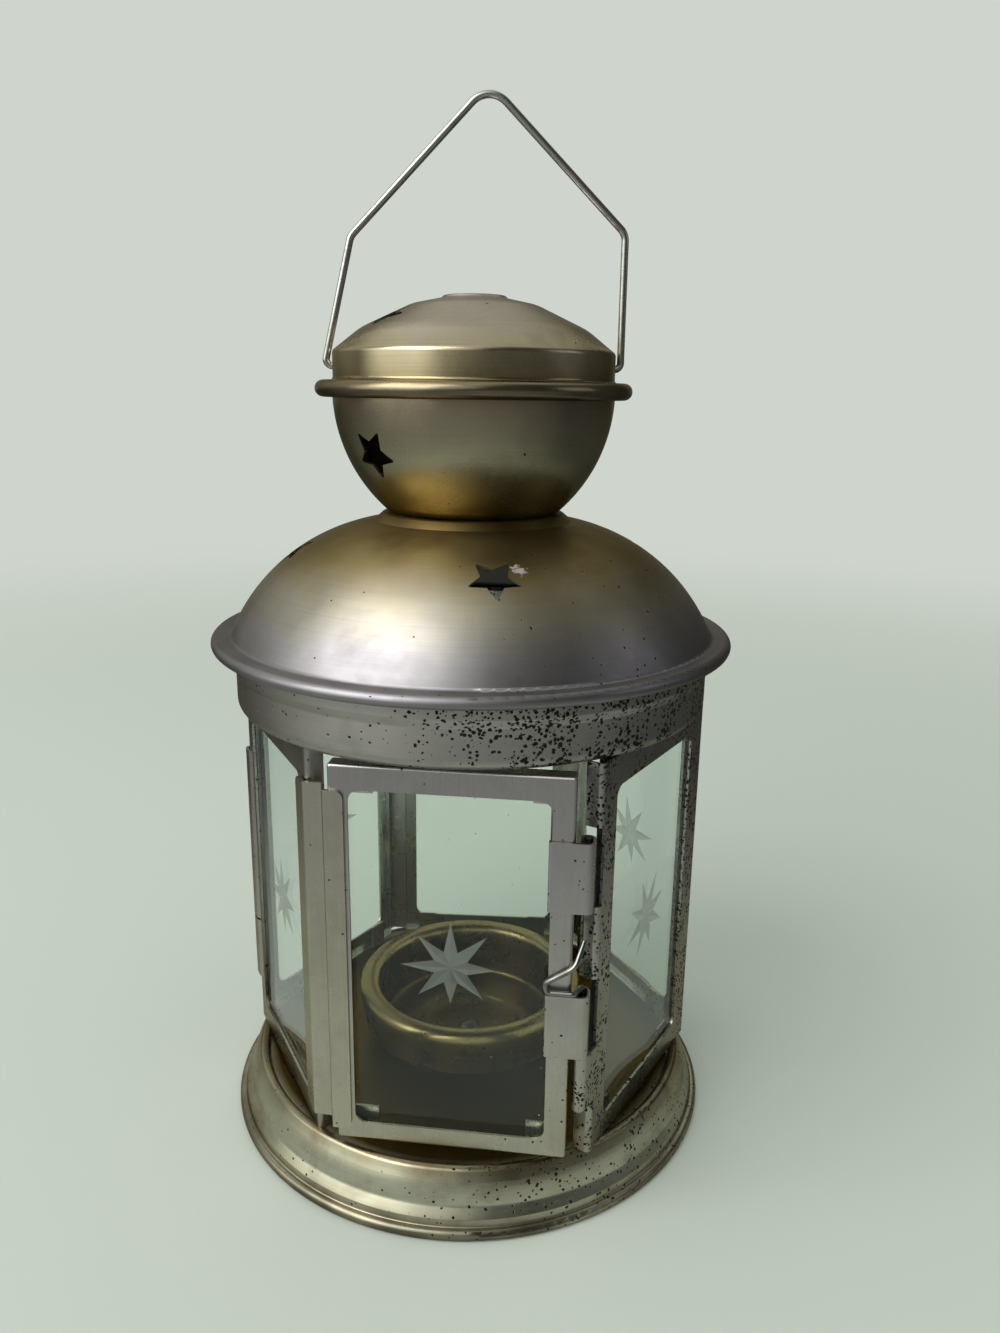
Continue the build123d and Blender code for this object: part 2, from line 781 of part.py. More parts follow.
# Bail: one wire, its feet hooked in through the cap's band
with BuildPart() as bail:
    with BuildLine(Plane.XZ) as bail_line:
        FilletPolyline(
            (bail_hook - bail_left_foot, bail_level),
            (-bail_left_foot, bail_level),
            (-bail_left_reach, bail_level + bail_left_rise),
            (bail_apex_shift, bail_level + bail_apex_rise),
            (bail_right_reach, bail_level + bail_right_rise),
            (bail_right_foot, bail_level),
            (bail_right_foot - bail_hook, bail_level),
            radius=(
                bail_foot_bend,
                bail_shoulder_bend,
                bail_apex_bend,
                bail_shoulder_bend,
                bail_foot_bend,
            ),
        )
    with BuildSketch(bail_line.line ^ 0):
        Circle(bail_wire)
    sweep()

pieces = {
    "base_pan": base_pan,
    "candle_cup": candle_cup,
    "cup_rivet": cup_rivet,
    "body_wrap": body_wrap,
    "left_panel": left_panel,
    **panes,
    "door_frame": door_frame,
    "closure_strip": closure_strip,
    "door_pane": door_pane,
    "hinge_pin": hinge_pin,
    "collar": collar,
    "roof_dome": roof_dome,
    "chimney_bowl": chimney_bowl,
    "chimney_cap": chimney_cap,
    "bail": bail,
}
for name, piece in pieces.items():
    piece.part.label = name
    export_step(piece.part, "parts/" + name + ".step")
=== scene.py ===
from math import cos, radians, sin

import bmesh
import bpy
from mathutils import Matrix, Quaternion, Vector


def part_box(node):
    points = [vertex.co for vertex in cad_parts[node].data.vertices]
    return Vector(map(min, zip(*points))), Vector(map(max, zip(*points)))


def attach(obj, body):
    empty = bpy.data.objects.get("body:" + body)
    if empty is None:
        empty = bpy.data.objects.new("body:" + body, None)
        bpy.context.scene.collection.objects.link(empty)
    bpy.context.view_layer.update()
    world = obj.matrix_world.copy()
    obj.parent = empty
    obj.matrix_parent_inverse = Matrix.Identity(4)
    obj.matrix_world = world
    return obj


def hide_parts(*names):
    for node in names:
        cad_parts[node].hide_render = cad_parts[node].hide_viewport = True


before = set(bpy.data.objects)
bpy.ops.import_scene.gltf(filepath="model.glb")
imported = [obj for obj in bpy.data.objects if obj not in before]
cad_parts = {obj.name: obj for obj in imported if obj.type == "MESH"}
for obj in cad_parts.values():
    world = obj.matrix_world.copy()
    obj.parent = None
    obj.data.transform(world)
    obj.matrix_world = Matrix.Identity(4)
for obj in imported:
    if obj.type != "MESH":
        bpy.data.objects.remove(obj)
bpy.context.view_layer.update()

mm = 0.001


# Base pan. A dish spun from tin-plated steel and turned upside down, so that its rolled foot
# carries the lantern. It is satin, with the lathe's fine rings round it, and darker at the foot.
# The plating has broken into black rust pits on the right. The floor inside is duller and darkened with
# painted shade.
def linear(colour):
    """Linear RGBA of an sRGB hex colour."""
    channels = [int(colour[place : place + 2], 16) / 255 for place in (1, 3, 5)]
    return (*[c / 12.92 if c <= 0.04045 else ((c + 0.055) / 1.055) ** 2.4 for c in channels], 1)


def add(tree, kind, sockets=(), **settings):
    """Adds a node with its settings, and fills or links the sockets given by name or number."""
    node = tree.nodes.new(kind)
    for name, value in settings.items():
        setattr(node, name, value)
    for socket, value in dict(sockets).items():
        if isinstance(value, bpy.types.NodeSocket):
            tree.links.new(value, node.inputs[socket])
        else:
            node.inputs[socket].default_value = value
    return node


def start_material(name):
    """An empty node material and its output node."""
    material = bpy.data.materials.new(name)
    material.use_nodes = True
    tree = material.node_tree
    tree.nodes.clear()
    return material, tree, tree.nodes.new("ShaderNodeOutputMaterial")


def clad(node, material):
    """Gives a carried-over node its material."""
    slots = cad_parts[node].data.materials
    slots.clear()
    slots.append(material)


def share_of(tree, value, low, high):
    """How far a value lies from low to high, from 0 to 1."""
    return add(tree, "ShaderNodeMapRange", {0: value, 1: low, 2: high}).outputs[0]


def noise(tree, place, width, detail, **sockets):
    """Value of a noise whose features are a width in mm across."""
    inputs = {"Vector": place, "Scale": 1 / (width * mm), "Detail": detail, **sockets}
    return add(tree, "ShaderNodeTexNoise", inputs).outputs["Fac"]


def blend(tree, share, under, over, **settings):
    """Mixes one colour over another by a share from 0 to 1."""
    sockets = {0: share, 6: under, 7: over}
    return add(tree, "ShaderNodeMix", sockets, data_type="RGBA", **settings).outputs[2]


def tinplate(name, tones, low, high, spun=True, pitting=0.25, tarnish=0.3, polish=0.34, shaded_floor=None):
    """Aged tin-plated steel sheet, its tones given from the level low to the level high in mm.

    Its grain is rings where it was spun and upright rolling lines where it was folded.
    Pitting and tarnish say how much of it is rusted and browned, and polish is its roughness.
    A shaded floor is a radius in mm, inside which the sheet is duller and darkened with painted shade, and
    that shade's tone.
    """
    material, tree, output = start_material(name)
    place = add(tree, "ShaderNodeTexCoord").outputs["Object"]
    level = add(tree, "ShaderNodeSeparateXYZ", {0: place}).outputs["Z"]

    # Clouds of colour in the lacquer, 18 mm across, move the tones up and down
    cloud_width, cloud_lift = 18, 5
    clouds = noise(tree, place, cloud_width, 3)
    lift = add(tree, "ShaderNodeMapRange", {0: clouds, 3: -cloud_lift * mm, 4: cloud_lift * mm})
    height = add(tree, "ShaderNodeMath", {0: level, 1: lift.outputs[0]}, operation="ADD").outputs[0]
    ramp = add(tree, "ShaderNodeValToRGB", {0: share_of(tree, height, low * mm, high * mm)})
    stops = ramp.color_ramp.elements
    while len(stops) < len(tones):
        stops.new(0.5)
    for number, tone in enumerate(tones):
        stops[number].position = number / max(1, len(tones) - 1)
        stops[number].color = linear(tone)

    toned = ramp.outputs["Color"]
    if spun or shaded_floor:
        flat = add(tree, "ShaderNodeVectorMath", {0: place, 1: (1, 1, 0)}, operation="MULTIPLY").outputs[0]
        radius = add(tree, "ShaderNodeVectorMath", {0: flat}, operation="LENGTH").outputs["Value"]
    if shaded_floor:
        # The painted shade fades out over a ring 2 mm wide
        shaded_floor_radius, painted_shade_tone = shaded_floor
        shade_start, shade_full = shaded_floor_radius + 0.5, shaded_floor_radius - 1.5
        in_painted_shade = share_of(tree, radius, shade_start * mm, shade_full * mm)
        toned = blend(tree, in_painted_shade, toned, linear(painted_shade_tone))

    # The grain: lines 0.35 mm apart, drawn about twice as coarse as the real ones so they show.
    # Spun rings waver by 0.4 mm for each radian, and rolling lines are 30 times as long as wide
    grain_pitch, ring_waver, rolled_squeeze, grain_tone = 0.35, 0.4, 0.03, 0.1
    if spun:
        turn = add(tree, "ShaderNodeSeparateXYZ", {0: place}).outputs
        bearing = add(tree, "ShaderNodeMath", {0: turn["Y"], 1: turn["X"]}, operation="ARCTAN2").outputs[0]
        drift = {0: bearing, 1: ring_waver * mm}
        drift = add(tree, "ShaderNodeMath", drift, operation="MULTIPLY").outputs[0]
        lines = add(tree, "ShaderNodeCombineXYZ", {0: radius, 1: level, 2: drift}).outputs[0]
    else:
        squeeze = {0: place, 1: (1, 1, rolled_squeeze)}
        lines = add(tree, "ShaderNodeVectorMath", squeeze, operation="MULTIPLY").outputs[0]
    grain = noise(tree, lines, grain_pitch, 2)

    # Brown tarnish in patches 11 mm across with ragged edges
    patch_width, patch_start, patch_full, brown = 11, 0.5, 0.72, "#5b4a33"
    patches = noise(tree, place, patch_width, 6, Roughness=0.65, Distortion=0.4)
    dull = share_of(tree, patches, patch_start, patch_full)
    dull = add(tree, "ShaderNodeMath", {0: dull, 1: tarnish}, operation="MULTIPLY").outputs[0]
    toned = blend(tree, dull, toned, linear(brown))
    grey = add(tree, "ShaderNodeCombineColor", {0: grain, 1: grain, 2: grain}).outputs[0]
    grained = blend(tree, grain_tone, toned, grey, blend_type="OVERLAY")

    # Rust pits up to 1 mm wide. They crowd together in patches 8 mm across, most of them on the
    # weather side, which lies to the right and a little to the front
    pit_cell, crowd_width, crowd_start, crowd_full = 0.75, 8, 0.36, 0.56
    weather, lee, open_side, lee_share, stray_share = (0.85, -0.5, 0), 12, 40, 0.07, 0.02
    cells = add(tree, "ShaderNodeTexVoronoi", {"Vector": place, "Scale": 1 / (pit_cell * mm)}).outputs
    chance = add(tree, "ShaderNodeSeparateColor", {0: cells["Color"]}).outputs
    exposure = add(tree, "ShaderNodeVectorMath", {0: place, 1: weather}, operation="DOT_PRODUCT")
    exposure = {0: exposure.outputs["Value"], 1: lee * mm, 2: open_side * mm, 3: lee_share}
    exposed = add(tree, "ShaderNodeMapRange", exposure).outputs[0]
    crowd = share_of(tree, noise(tree, place, crowd_width, 2), crowd_start, crowd_full)
    crowded = add(tree, "ShaderNodeMath", {0: exposed, 1: crowd}, operation="MULTIPLY").outputs[0]
    crowded = {0: crowded, 1: pitting, 2: stray_share * pitting}
    crowded = add(tree, "ShaderNodeMath", crowded, operation="MULTIPLY_ADD").outputs[0]
    taken = add(tree, "ShaderNodeMath", {0: chance[0], 1: crowded}, operation="LESS_THAN").outputs[0]

    # Each pit reaches some share of its cell, more where they crowd, and its edge is ragged
    least_reach, most_reach, lone_swell, crowd_swell = 0.25, 0.95, 0.8, 0.4
    rag_width, pit_slope, rust = 0.5, 0.06, "#171412"
    reach = add(tree, "ShaderNodeMapRange", {0: chance[1], 3: least_reach, 4: most_reach}).outputs[0]
    swell = {0: crowded, 1: crowd_swell, 2: lone_swell}
    swell = add(tree, "ShaderNodeMath", swell, operation="MULTIPLY_ADD").outputs[0]
    reach = add(tree, "ShaderNodeMath", {0: reach, 1: swell}, operation="MULTIPLY").outputs[0]
    ragged = noise(tree, place, rag_width, 2)
    edge = add(tree, "ShaderNodeMath", {0: reach, 1: ragged}, operation="MULTIPLY").outputs[0]
    inside = add(tree, "ShaderNodeMath", {0: edge, 1: cells["Distance"]}, operation="SUBTRACT").outputs[0]
    inside = share_of(tree, inside, 0, pit_slope)
    pit = add(tree, "ShaderNodeMath", {0: inside, 1: taken}, operation="MULTIPLY").outputs[0]
    colour = blend(tree, pit, grained, linear(rust))

    # Satin: the patches vary the gloss a little, and pits are dead matt
    brightest, dullest, rust_gloss, rust_metal, shaded_floor_gloss = polish - 0.05, polish + 0.12, 0.9, 0.2, 0.36
    satin = {0: patches, 1: 0.3, 2: 0.75, 3: brightest, 4: dullest}
    satin = add(tree, "ShaderNodeMapRange", satin).outputs[0]
    gloss = add(tree, "ShaderNodeMix", {0: pit, 2: satin, 3: rust_gloss}).outputs[0]
    metal = add(tree, "ShaderNodeMapRange", {0: pit, 3: 1.0, 4: rust_metal}).outputs[0]
    edge_tint = linear("#c9c3b4")
    # Within the painted shade on the floor the gloss is duller and the edge tint darker
    if shaded_floor:
        gloss = add(tree, "ShaderNodeMix", {0: in_painted_shade, 2: gloss, 3: shaded_floor_gloss}).outputs[0]
        edge_tint = blend(tree, in_painted_shade, edge_tint, linear("#9a8660"))

    # Relief: dents 25 mm across that bend reflections, the grain, and pits 0.08 mm deep
    dent_width, dent_depth, grain_depth, pit_depth = 25, 0.5, 0.015, 0.08
    dents = noise(tree, place, dent_width, 1)
    bent = {"Strength": 0.5, "Distance": dent_depth * mm, "Height": dents}
    bent = add(tree, "ShaderNodeBump", bent).outputs[0]
    brushed = {"Strength": 0.25, "Distance": grain_depth * mm, "Height": grain, "Normal": bent}
    brushed = add(tree, "ShaderNodeBump", brushed).outputs[0]
    pitted = {"Strength": 0.6, "Distance": pit_depth * mm, "Height": pit, "Normal": brushed}
    pitted = add(tree, "ShaderNodeBump", pitted, invert=True).outputs[0]
    metal_skin = {
        "Base Color": colour,
        "Metallic": metal,
        "Roughness": gloss,
        "Specular Tint": edge_tint,
        "Normal": pitted,
    }
    if spun:
        # A quarter turn lets the rings stretch a highlight upright, across them
        metal_skin["Anisotropic"] = 0.5
        metal_skin["Anisotropic Rotation"] = 0.25
        metal_skin["Tangent"] = add(tree, "ShaderNodeTangent", direction_type="RADIAL", axis="Z").outputs[0]
    skin = add(tree, "ShaderNodeBsdfPrincipled", metal_skin)
    tree.links.new(skin.outputs[0], output.inputs["Surface"])
    return material


base_tones = ("#655f52", "#a8a18d", "#b9b7a7", "#aca692", "#8c8068")
# The floor inside, within 45 mm, is darkened to a dark olive brown as painted shade
base_wear = {"pitting": 0.6, "tarnish": 0.5, "polish": 0.28, "shaded_floor": (45, "#544423")}
clad("base_pan", tinplate("Spun tin plate, base", base_tones, 0, 13, **base_wear))

# Candle cup and its rivet. The cup is spun from one disc: a stepped bottom, a straight wall, and a
# broad lip that rolls over and hangs down outside as a skirt. One steel rivet holds it to the pan.
# Its lacquer has gone a dull brass gold, and painted shade darkens it from the lip down into its well.
cup_corners = (
    (0, 11.25),
    (10.6, 11.25),
    (11.9, 12.7),
    (19.0, 12.7),
    (20.45, 14.4),
    (20.45, 23.6),
    (21.4, 25.1),
    (24.0, 25.1),
    (24.95, 23.6),
    (23.6, 16.0),
)
cup_half_sheet, cup_rounds, cup_sides = 0.25, 3, 128


def spun_shell(name, corners, half_sheet, rounds, sides):
    """A sheet piece turned round the lantern's axis, its section's corners softened.

    Each round cuts every corner off a quarter of the way along the lines that meet there.
    """
    line = [Vector(corner) for corner in corners]
    for _ in range(rounds):
        cut = [line[0]]
        for here, there in zip(line, line[1:]):
            cut += [here.lerp(there, 1 / 4), here.lerp(there, 3 / 4)]
        line = [*cut, line[-1]]
    ribbon = []
    for side in (1, -1):
        edge = []
        for number, point in enumerate(line):
            run = line[min(number + 1, len(line) - 1)] - line[max(number - 1, 0)]
            across = Vector((-run.y, run.x)).normalized() * half_sheet * side
            edge.append((max(0, point.x + across.x) if number else 0, point.y + across.y))
        ribbon += edge[::side]
    mesh = bmesh.new()
    verts = [mesh.verts.new((x * mm, 0, z * mm)) for x, z in ribbon]
    edges = [mesh.edges.new(pair) for pair in zip(verts, verts[1:])]
    round_axis = {"axis": (0, 0, 1), "cent": (0, 0, 0), "angle": radians(360), "steps": sides}
    bmesh.ops.spin(mesh, geom=verts + edges, use_merge=True, **round_axis)
    weld = 0.001
    bmesh.ops.remove_doubles(mesh, verts=mesh.verts, dist=weld * mm)
    bmesh.ops.recalc_face_normals(mesh, faces=mesh.faces)
    for face in mesh.faces:
        face.smooth = True
    data = bpy.data.meshes.new(name)
    mesh.to_mesh(data)
    mesh.free()
    shell = bpy.data.objects.new(name, data)
    bpy.context.collection.objects.link(shell)
    return shell


# Tones from the cup's bottom up to its lip: the dark low tones are painted shade
cup_gold_and_painted_shade = ("#40341f", "#6e5c3c", "#6e5d40", "#97875f")
cup_wear = {"pitting": 0.03, "tarnish": 0.2, "polish": 0.26}
cup_plate = tinplate("Spun tin plate, cup", cup_gold_and_painted_shade, 10, 26, **cup_wear)
cup = spun_shell("candle_cup_spun", cup_corners, cup_half_sheet, cup_rounds, cup_sides)
cup.data.materials.append(cup_plate)
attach(cup, "lantern")
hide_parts("candle_cup")
rivet_tones = ("#4a443a", "#6f685c")
clad("cup_rivet", tinplate("Steel rivet", rivet_tones, 9, 13, pitting=0.1, polish=0.3))

# Body. One strip of plate folded round four corners of the hexagon, and a fifth panel strapped
# to it at the left. Cool grey and satin, with upright rolling lines and pits down the posts.
body_tones = ("#a39e91", "#b2afa7", "#aeaaa6", "#a6a4a2")
body_wear = {"pitting": 1.4, "tarnish": 0.25, "polish": 0.27}
body_plate = tinplate("Folded tin plate, body", body_tones, 12, 92, spun=False, **body_wear)
clad("body_wrap", body_plate)
clad("left_panel", body_plate)

# Door. A shallow tray of plate with its window punched out, the straps curled round the hinge
# wire, and the closure strip fastened on the left stile. Handling has kept it the cleanest.
door_tones = ("#b6b1a0", "#b8b5ad", "#b4b0b0", "#aea8aa")
door_wear = {"pitting": 0.14, "tarnish": 0.16, "polish": 0.26}
clad("door_frame", tinplate("Folded tin plate, door", door_tones, 13, 92, spun=False, **door_wear))
strip_tones = ("#bdb8a8", "#b8b2a3", "#bcb7ad")
strip_wear = {"pitting": 0.15, "tarnish": 0.2, "polish": 0.24}
strip_plate = tinplate("Folded tin plate, closure strip", strip_tones, 16, 86, spun=False, **strip_wear)
clad("closure_strip", strip_plate)


# Hinge wire. Galvanised steel wire of 1 mm, bent by hand: it runs up through both knuckles, and
# between them it sweeps out into a finger loop. It is bright, with short patches of dark grime.
def steel_wire(name, colour, dark):
    """Drawn steel wire with patches of grime 4 mm long over a fine scale."""
    grime_width, grime_start, grime_full, clean_gloss, grimy_gloss = 4, 0.5, 0.75, 0.22, 0.5
    scale_width, scale_depth = 0.5, 0.02
    material, tree, output = start_material(name)
    place = add(tree, "ShaderNodeTexCoord").outputs["Object"]
    grime = share_of(tree, noise(tree, place, grime_width, 5, Roughness=0.7), grime_start, grime_full)
    tone = blend(tree, grime, linear(colour), linear(dark))
    gloss = add(tree, "ShaderNodeMapRange", {0: grime, 3: clean_gloss, 4: grimy_gloss}).outputs[0]
    scale = noise(tree, place, scale_width, 2)
    relief = {"Strength": 0.15, "Distance": scale_depth * mm, "Height": scale}
    relief = add(tree, "ShaderNodeBump", relief).outputs[0]
    steel = {"Base Color": tone, "Metallic": 1.0, "Roughness": gloss, "Normal": relief}
    skin = add(tree, "ShaderNodeBsdfPrincipled", steel)
    tree.links.new(skin.outputs[0], output.inputs["Surface"])
    return material


clad("hinge_pin", steel_wire("Galvanised steel wire, hinge", "#8f8f8c", "#4a4640"))


# Panes. Clear sheet glass of 2 mm with a faint green cast, held by hooks at top and bottom. It
# carries dust, wiped smears and a few specks, so it shows as glass even where nothing reflects.
def sheet_glass():
    """Clear soda-lime glass that lets light through for shadows, with dust on it."""
    material, tree, output = start_material("Soda-lime sheet glass")
    place = add(tree, "ShaderNodeTexCoord").outputs["Object"]
    smear_width, least_haze, most_haze, smear_gloss = 22, 0.003, 0.016, 0.04
    smear = noise(tree, place, smear_width, 2, Distortion=0.6)
    haze = {0: smear, 1: 0.45, 2: 0.8, 3: least_haze, 4: most_haze}
    haze = add(tree, "ShaderNodeMapRange", haze).outputs[0]
    gloss = add(tree, "ShaderNodeMapRange", {0: smear, 1: 0.4, 2: 0.8, 3: 0.0, 4: smear_gloss}).outputs[0]

    # Specks about 0.3 mm wide, in one of three cells of 3.2 mm
    speck_cell, speck_share, speck_reach = 3.2, 0.35, 0.045
    cells = add(tree, "ShaderNodeTexVoronoi", {"Vector": place, "Scale": 1 / (speck_cell * mm)}).outputs
    chance = add(tree, "ShaderNodeSeparateColor", {0: cells["Color"]}).outputs[0]
    taken = add(tree, "ShaderNodeMath", {0: chance, 1: speck_share}, operation="LESS_THAN").outputs[0]
    near = {0: cells["Distance"], 1: speck_reach}
    near = add(tree, "ShaderNodeMath", near, operation="LESS_THAN").outputs[0]
    speck = add(tree, "ShaderNodeMath", {0: near, 1: taken}, operation="MULTIPLY").outputs[0]

    # The index is lower than real glass has, to keep a bright floor's reflection off the inside
    pane_tint, pane_index = "#f4faf6", 1.33
    pane = {"Base Color": linear(pane_tint), "Roughness": gloss, "IOR": pane_index}
    pane = add(tree, "ShaderNodeBsdfPrincipled", {**pane, "Transmission Weight": 1.0})
    clear = add(tree, "ShaderNodeBsdfTransparent", {0: linear("#eef5f0")})
    shadow = add(tree, "ShaderNodeLightPath").outputs["Is Shadow Ray"]
    lit = add(tree, "ShaderNodeMixShader", {0: shadow, 1: pane.outputs[0], 2: clear.outputs[0]})
    dust = add(tree, "ShaderNodeBsdfDiffuse", {0: linear("#b9bcb2")})
    film = add(tree, "ShaderNodeMath", {0: haze, 1: speck}, operation="MAXIMUM").outputs[0]
    dusty = add(tree, "ShaderNodeMixShader", {0: film, 1: lit.outputs[0], 2: dust.outputs[0]})
    tree.links.new(dusty.outputs[0], output.inputs["Surface"])
    return material


glass = sheet_glass()
pane_bodies = {
    "door_pane": "door",
    "pane_right": "lantern",
    "pane_back_right": "lantern",
    "pane_back": "lantern",
    "pane_back_left": "lantern",
    "pane_left": "lantern",
}
for pane in pane_bodies:
    clad(pane, glass)


# Cut stars. Each pane but the rear one has a star wheel-cut into it by hand. It has eight points
# of two facets each, ground matt, so that one side of a point is light and the other dark.
def ground_glass():
    """Glass ground matt by the cutting wheel: grey, and only half clear."""
    material, tree, output = start_material("Ground glass, cut star")
    place = add(tree, "ShaderNodeTexCoord").outputs["Object"]
    grit_width, grit_depth, fine_gloss, coarse_gloss, clear_share = 0.25, 0.02, 0.3, 0.5, 0.42
    grit = noise(tree, place, grit_width, 2)
    relief = {"Strength": 0.3, "Distance": grit_depth * mm, "Height": grit}
    relief = add(tree, "ShaderNodeBump", relief).outputs[0]
    gloss = add(tree, "ShaderNodeMapRange", {0: grit, 3: fine_gloss, 4: coarse_gloss}).outputs[0]
    skin = add(
        tree,
        "ShaderNodeBsdfPrincipled",
        {
            "Base Color": linear("#969b95"),
            "Roughness": gloss,
            "IOR": 1.52,
            "Transmission Weight": 0.5,
            "Normal": relief,
        },
    )
    clear = add(tree, "ShaderNodeBsdfTransparent")
    mixed = add(tree, "ShaderNodeMixShader", {0: clear_share, 1: skin.outputs[0], 2: clear.outputs[0]})
    tree.links.new(mixed.outputs[0], output.inputs["Surface"])
    return material


star_glass = ground_glass()
star_reaches = (9.0, 9.4, 8.3, 8.6, 7.5, 8.6, 9.4, 8.6)
star_waist, star_lift, rim_lift, ridge_share = 3.3, 0.4, 0.05, 0.42


def outer_face(pane):
    """Centre, outward normal and level direction of a pane's outer face."""
    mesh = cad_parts[pane].data
    most_slant = 0.1
    widest = max(
        (face for face in mesh.polygons if abs(face.normal.z) < most_slant),
        key=lambda face: face.area * (face.normal.dot(Vector((face.center.x, face.center.y, 0))) > 0),
    )
    low, high = (Vector(point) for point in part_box(pane))
    middle = (low + high) / 2
    normal = widest.normal.copy()
    return middle + normal * (widest.center - middle).dot(normal), normal, Vector((0, 0, 1)).cross(normal)


def cut_star(pane, body, turn):
    """One cut star, its facets rising to a ridge along each of its eight points."""
    centre, normal, along = outer_face(pane)
    up = Vector((0, 0, 1))

    def spot(angle, reach, lift):
        side = along * cos(radians(angle)) + up * sin(radians(angle))
        return centre + side * reach * mm + normal * lift * mm

    mesh = bmesh.new()
    hub = mesh.verts.new(spot(0, 0, rim_lift))
    count = len(star_reaches)
    step, first = 360 / count, 90 + turn
    between = [first - step * (n - 0.5) for n in range(count)]
    waists = [mesh.verts.new(spot(angle, star_waist, rim_lift)) for angle in between]
    for n, reach in enumerate(star_reaches):
        angle = first - step * n
        ridge = mesh.verts.new(spot(angle, reach * ridge_share, star_lift))
        tip = mesh.verts.new(spot(angle, reach, rim_lift))
        before, after = waists[n], waists[(n + 1) % count]
        left_side = (hub, ridge, before), (before, ridge, tip)
        right_side = (ridge, hub, after), (tip, ridge, after)
        for corners in (*left_side, *right_side):
            mesh.faces.new(corners)
    bmesh.ops.recalc_face_normals(mesh, faces=mesh.faces)
    if mesh.faces[0].normal.dot(normal) < 0:
        bmesh.ops.reverse_faces(mesh, faces=mesh.faces)
    data = bpy.data.meshes.new("cut_star_" + pane)
    mesh.to_mesh(data)
    mesh.free()
    star = bpy.data.objects.new("cut_star_" + pane, data)
    bpy.context.collection.objects.link(star)
    data.materials.append(star_glass)
    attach(star, body)


star_turns = {
    "door_pane": 0,
    "pane_right": 18,
    "pane_back_right": -12,
    "pane_back_left": 8,
    "pane_left": 5,
}
for pane, turn in star_turns.items():
    cut_star(pane, pane_bodies[pane], turn)

# Collar. A spun ring between the body and the roof: the body's tabs are clinched over its inner
# edge, and the roof is rolled over its flange. It is the most pitted piece, worst on the right.
collar_tones = ("#a8a5a1", "#b3aeab", "#a5a19f")
collar_wear = {"pitting": 2.2, "tarnish": 0.2, "polish": 0.3}
clad("collar", tinplate("Spun tin plate, collar", collar_tones, 92, 105, **collar_wear))

# Roof dome. Spun over a wooden form and punched with four stars. The tone turns from a lilac
# grey at its rolled rim to bronze under the chimney, where the candle's heat has browned it.
roof_tones = ("#8a858a", "#9b9699", "#ada495", "#96845f", "#75613b")
roof_wear = {"pitting": 0.09, "tarnish": 0.12, "polish": 0.4}
roof_plate = tinplate("Spun tin plate, roof", roof_tones, 103, 131, **roof_wear)
clad("roof_dome", roof_plate)


def dab(material, spot, width, colour):
    """A dried, scratched smear of glue on a metal, its ragged middle at a spot in mm."""
    tree = material.node_tree
    skin = next(node for node in tree.nodes if node.type == "BSDF_PRINCIPLED")
    place = add(tree, "ShaderNodeTexCoord").outputs["Object"]
    middle = [length * mm for length in spot]
    rag_width, least_reach, soft_edge, most_cover, matt = 1.1, 0.2 * width, 0.5, 0.75, 0.8
    away = add(tree, "ShaderNodeVectorMath", {0: place, 1: middle}, operation="DISTANCE").outputs["Value"]
    reach = {0: noise(tree, place, rag_width, 4), 1: 0.3, 2: 0.7, 3: least_reach * mm, 4: width * mm}
    reach = add(tree, "ShaderNodeMapRange", reach).outputs[0]
    cover = add(tree, "ShaderNodeMath", {0: reach, 1: away}, operation="SUBTRACT").outputs[0]
    cover = add(tree, "ShaderNodeMapRange", {0: cover, 1: 0, 2: soft_edge * mm, 4: most_cover}).outputs[0]
    for socket, value in (("Base Color", linear(colour)), ("Metallic", 0), ("Roughness", matt)):
        kind = "RGBA" if socket == "Base Color" else "FLOAT"
        under, over, result = (6, 7, 2) if kind == "RGBA" else (2, 3, 0)
        before = skin.inputs[socket].links[0].from_socket
        mixed = add(tree, "ShaderNodeMix", {0: cover, under: before, over: value}, data_type=kind)
        tree.links.new(mixed.outputs[result], skin.inputs[socket])


glue_spot, glue_width = (8.1, -32.9, 124.0), 2.4
dab(roof_plate, glue_spot, glue_width, "#b5a9ae")

# Chimney. A spun bowl with three punched stars under a cap with three more, the cap's rim
# rolled over the bowl's flange. Both have kept most of their champagne-gold lacquer.
bowl_tones = ("#9d8c5c", "#aaa07c", "#aca68c", "#998c78", "#8a7b68")
cap_tones = ("#6f665a", "#9f8f70", "#b5a890", "#bdb0a6", "#bbafaa")
bowl_wear = {"pitting": 0.05, "tarnish": 0.15, "polish": 0.24}
cap_wear = {"pitting": 0.04, "tarnish": 0.12, "polish": 0.24}
clad("chimney_bowl", tinplate("Spun tin plate, bowl", bowl_tones, 130, 155, **bowl_wear))
clad("chimney_cap", tinplate("Spun tin plate, cap", cap_tones, 152, 172, **cap_wear))

# Bail. Steel wire of 1.4 mm, bent to a pointed arch, its feet hooked in through the cap's band.
clad("bail", steel_wire("Drawn steel wire, bail", "#b4b2ad", "#6b665d"))


# Studio. A pale floor that fades into an equally pale surround, one large soft lamp at the upper
# left and a weak one on the right. The metal sees the floor brightest towards the window side.
pale = "#cfd5cd"
floor_reach, floor_sides, fade_start, fade_end, metal_fade_end = 3.0, 96, 0.22, 0.9, 0.26
window_way, far_side, near_side, far_glow, near_glow = (-0.5, -0.87, 0), -0.3, 0.9, 0.12, 0.52


def smooth_share(tree, value, low, high, most=1.0):
    """How far a value lies from low to high, eased at both ends."""
    sockets = {0: value, 1: low, 2: high, 4: most}
    return add(tree, "ShaderNodeMapRange", sockets, interpolation_type="SMOOTHSTEP").outputs[0]


